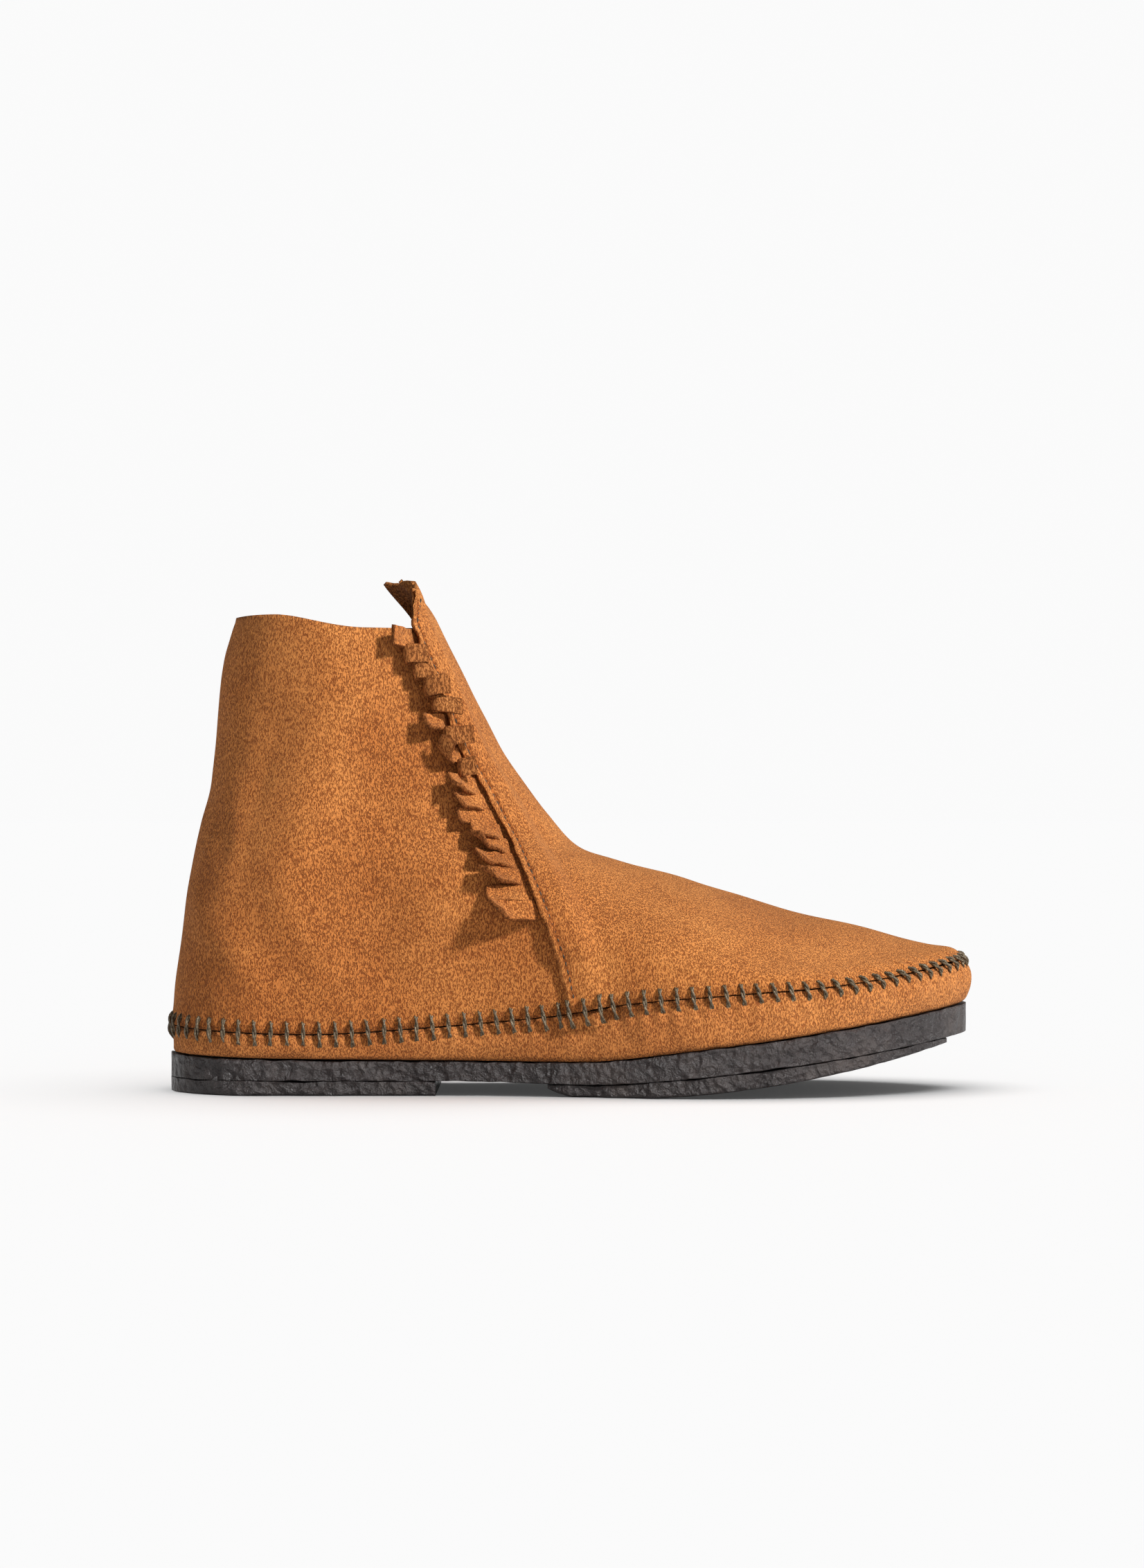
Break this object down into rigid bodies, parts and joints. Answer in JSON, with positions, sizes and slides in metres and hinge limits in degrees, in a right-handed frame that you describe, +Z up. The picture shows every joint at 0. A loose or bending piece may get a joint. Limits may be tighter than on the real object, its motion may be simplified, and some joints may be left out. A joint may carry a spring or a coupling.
{
  "type": "moccasin boot",
  "caption": "Ankle-high suede moccasin boot for the right foot, with a whipped seam round the sole wrap, a fringed outer side seam, a zip on the inner side and a rubber sole.",
  "frame": {"origin": "on the ground, under the middle of the boot's box", "axes": "+X from heel to toe, +Y to the inner side of the foot, +Z up"},
  "size_m": [0.2572, 0.0956, 0.1652],
  "materials": {
    "suede": "napped suede",
    "rubber": "crinkled crepe",
    "thread": "waxed, twisted",
    "tape": "woven",
    "metal": "antique, satin",
    "foam": "soft foam",
    "sock": "brushed cloth"
  },
  "bodies": {
    "boot": {"ball_pad": "rubber", "fringe_band": "suede", "front_panel": "suede", "heel_pad": "rubber", "insole_foam": "foam", "outsole": "rubber", "quarter": "suede", "rim_thread": "thread", "sock_liner": "sock", "sole_wrap": "suede", "whip_thread": "thread", "zip_bottom_stop": "metal", "zip_guard": "suede", "zip_tape_front": "tape", "zip_tape_rear": "tape", "zip_teeth_front": "metal", "zip_teeth_rear": "metal", "zip_thread_front": "thread", "zip_thread_rear": "thread", "zip_top_stop_front": "metal", "zip_top_stop_rear": "metal"},
    "zip_slider": {"zip_slider": "metal"},
    "zip_pull": {"zip_pull": "metal"},
    "fringe_tab_01": {"fringe_tab_01": "suede"},
    "fringe_tab_02": {"fringe_tab_02": "suede"},
    "fringe_tab_03": {"fringe_tab_03": "suede"},
    "fringe_tab_04": {"fringe_tab_04": "suede"},
    "fringe_tab_05": {"fringe_tab_05": "suede"},
    "fringe_tab_06": {"fringe_tab_06": "suede"},
    "fringe_tab_07": {"fringe_tab_07": "suede"},
    "fringe_tab_08": {"fringe_tab_08": "suede"},
    "fringe_tab_09": {"fringe_tab_09": "suede"},
    "fringe_tab_10": {"fringe_tab_10": "suede"},
    "fringe_tab_11": {"fringe_tab_11": "suede"},
    "fringe_tab_12": {"fringe_tab_12": "suede"},
    "fringe_tab_13": {"fringe_tab_13": "suede"},
    "fringe_tab_14": {"fringe_tab_14": "suede"},
    "fringe_tab_15": {"fringe_tab_15": "suede"},
    "fringe_tab_16": {"fringe_tab_16": "suede"},
    "fringe_tab_17": {"fringe_tab_17": "suede"},
    "fringe_tab_18": {"fringe_tab_18": "suede"}
  },
  "joints": [
    {"name": "zip_slide", "type": "slide", "parent": "boot", "child": "zip_slider", "axis": [0.3791, 0.0679, -0.9229], "range_m": [0, 0.0842]},
    {"name": "pull_swing", "type": "hinge", "parent": "zip_slider", "child": "zip_pull", "pos_m": [-0.04978, 0.02765, 0.13914], "axis": [0.8465, -0.4284, 0.3162], "range_deg": [0, 150]},
    {"name": "tab_01_bend", "type": "hinge", "parent": "boot", "child": "fringe_tab_01", "pos_m": [-0.04913, -0.02284, 0.14158], "axis": [-0.2984, 0.0568, 0.9527], "range_deg": [-2, 70], "stiffness_Nm_per_rad": 0.0004},
    {"name": "tab_02_bend", "type": "hinge", "parent": "boot", "child": "fringe_tab_02", "pos_m": [-0.047, -0.02269, 0.13641], "axis": [-0.3871, -0.0313, 0.9215], "range_deg": [-2, 70], "stiffness_Nm_per_rad": 0.0004},
    {"name": "tab_03_bend", "type": "hinge", "parent": "boot", "child": "fringe_tab_03", "pos_m": [-0.04478, -0.02247, 0.13129], "axis": [-0.3843, -0.0221, 0.923], "range_deg": [-2, 70], "stiffness_Nm_per_rad": 0.0004},
    {"name": "tab_04_bend", "type": "hinge", "parent": "boot", "child": "fringe_tab_04", "pos_m": [-0.04267, -0.0224, 0.12613], "axis": [-0.3661, 0.0025, 0.9306], "range_deg": [-2, 70], "stiffness_Nm_per_rad": 0.0004},
    {"name": "tab_05_bend", "type": "hinge", "parent": "boot", "child": "fringe_tab_05", "pos_m": [-0.04071, -0.02251, 0.1209], "axis": [-0.351, 0.024, 0.9361], "range_deg": [-2, 20], "stiffness_Nm_per_rad": 0.0004},
    {"name": "tab_06_bend", "type": "hinge", "parent": "boot", "child": "fringe_tab_06", "pos_m": [-0.03877, -0.02268, 0.11567], "axis": [-0.3626, 0.0253, 0.9316], "range_deg": [-2, 45], "stiffness_Nm_per_rad": 0.0004},
    {"name": "tab_07_bend", "type": "hinge", "parent": "boot", "child": "fringe_tab_07", "pos_m": [-0.0367, -0.0228, 0.1105], "axis": [-0.4045, 0.0099, 0.9145], "range_deg": [-2, 20], "stiffness_Nm_per_rad": 0.0004},
    {"name": "tab_08_bend", "type": "hinge", "parent": "boot", "child": "fringe_tab_08", "pos_m": [-0.03433, -0.02281, 0.10549], "axis": [-0.4588, -0.0093, 0.8885], "range_deg": [-2, 45], "stiffness_Nm_per_rad": 0.0004},
    {"name": "tab_09_bend", "type": "hinge", "parent": "boot", "child": "fringe_tab_09", "pos_m": [-0.03162, -0.02269, 0.10064], "axis": [-0.4907, -0.0091, 0.8713], "range_deg": [-2, 70], "stiffness_Nm_per_rad": 0.0004},
    {"name": "tab_10_bend", "type": "hinge", "parent": "boot", "child": "fringe_tab_10", "pos_m": [-0.02883, -0.02266, 0.09584], "axis": [-0.488, 0.0207, 0.8726], "range_deg": [-2, 70], "stiffness_Nm_per_rad": 0.0004},
    {"name": "tab_11_bend", "type": "hinge", "parent": "boot", "child": "fringe_tab_11", "pos_m": [-0.02621, -0.02294, 0.09095], "axis": [-0.4675, 0.0597, 0.882], "range_deg": [-2, 70], "stiffness_Nm_per_rad": 0.0004},
    {"name": "tab_12_bend", "type": "hinge", "parent": "boot", "child": "fringe_tab_12", "pos_m": [-0.0237, -0.02342, 0.08603], "axis": [-0.4577, 0.1146, 0.8817], "range_deg": [-2, 50], "stiffness_Nm_per_rad": 0.0004},
    {"name": "tab_13_bend", "type": "hinge", "parent": "boot", "child": "fringe_tab_13", "pos_m": [-0.02124, -0.02421, 0.08134], "axis": [-0.4434, 0.2627, 0.857], "range_deg": [-2, 70], "stiffness_Nm_per_rad": 0.0004},
    {"name": "tab_14_bend", "type": "hinge", "parent": "boot", "child": "fringe_tab_14", "pos_m": [-0.01902, -0.02622, 0.07708], "axis": [-0.409, 0.4062, 0.8172], "range_deg": [-2, 70], "stiffness_Nm_per_rad": 0.0004},
    {"name": "tab_15_bend", "type": "hinge", "parent": "boot", "child": "fringe_tab_15", "pos_m": [-0.01696, -0.02908, 0.07279], "axis": [-0.3727, 0.4681, 0.8012], "range_deg": [-2, 70], "stiffness_Nm_per_rad": 0.0004},
    {"name": "tab_16_bend", "type": "hinge", "parent": "boot", "child": "fringe_tab_16", "pos_m": [-0.01481, -0.03154, 0.06807], "axis": [-0.3783, 0.3816, 0.8433], "range_deg": [-2, 70], "stiffness_Nm_per_rad": 0.0004},
    {"name": "tab_17_bend", "type": "hinge", "parent": "boot", "child": "fringe_tab_17", "pos_m": [-0.01262, -0.03343, 0.0631], "axis": [-0.3801, 0.2872, 0.8792], "range_deg": [-2, 70], "stiffness_Nm_per_rad": 0.0004},
    {"name": "tab_18_bend", "type": "hinge", "parent": "boot", "child": "fringe_tab_18", "pos_m": [-0.01045, -0.03483, 0.05801], "axis": [-0.3782, 0.2073, 0.9022], "range_deg": [-2, 70], "stiffness_Nm_per_rad": 0.0004}
  ]
}
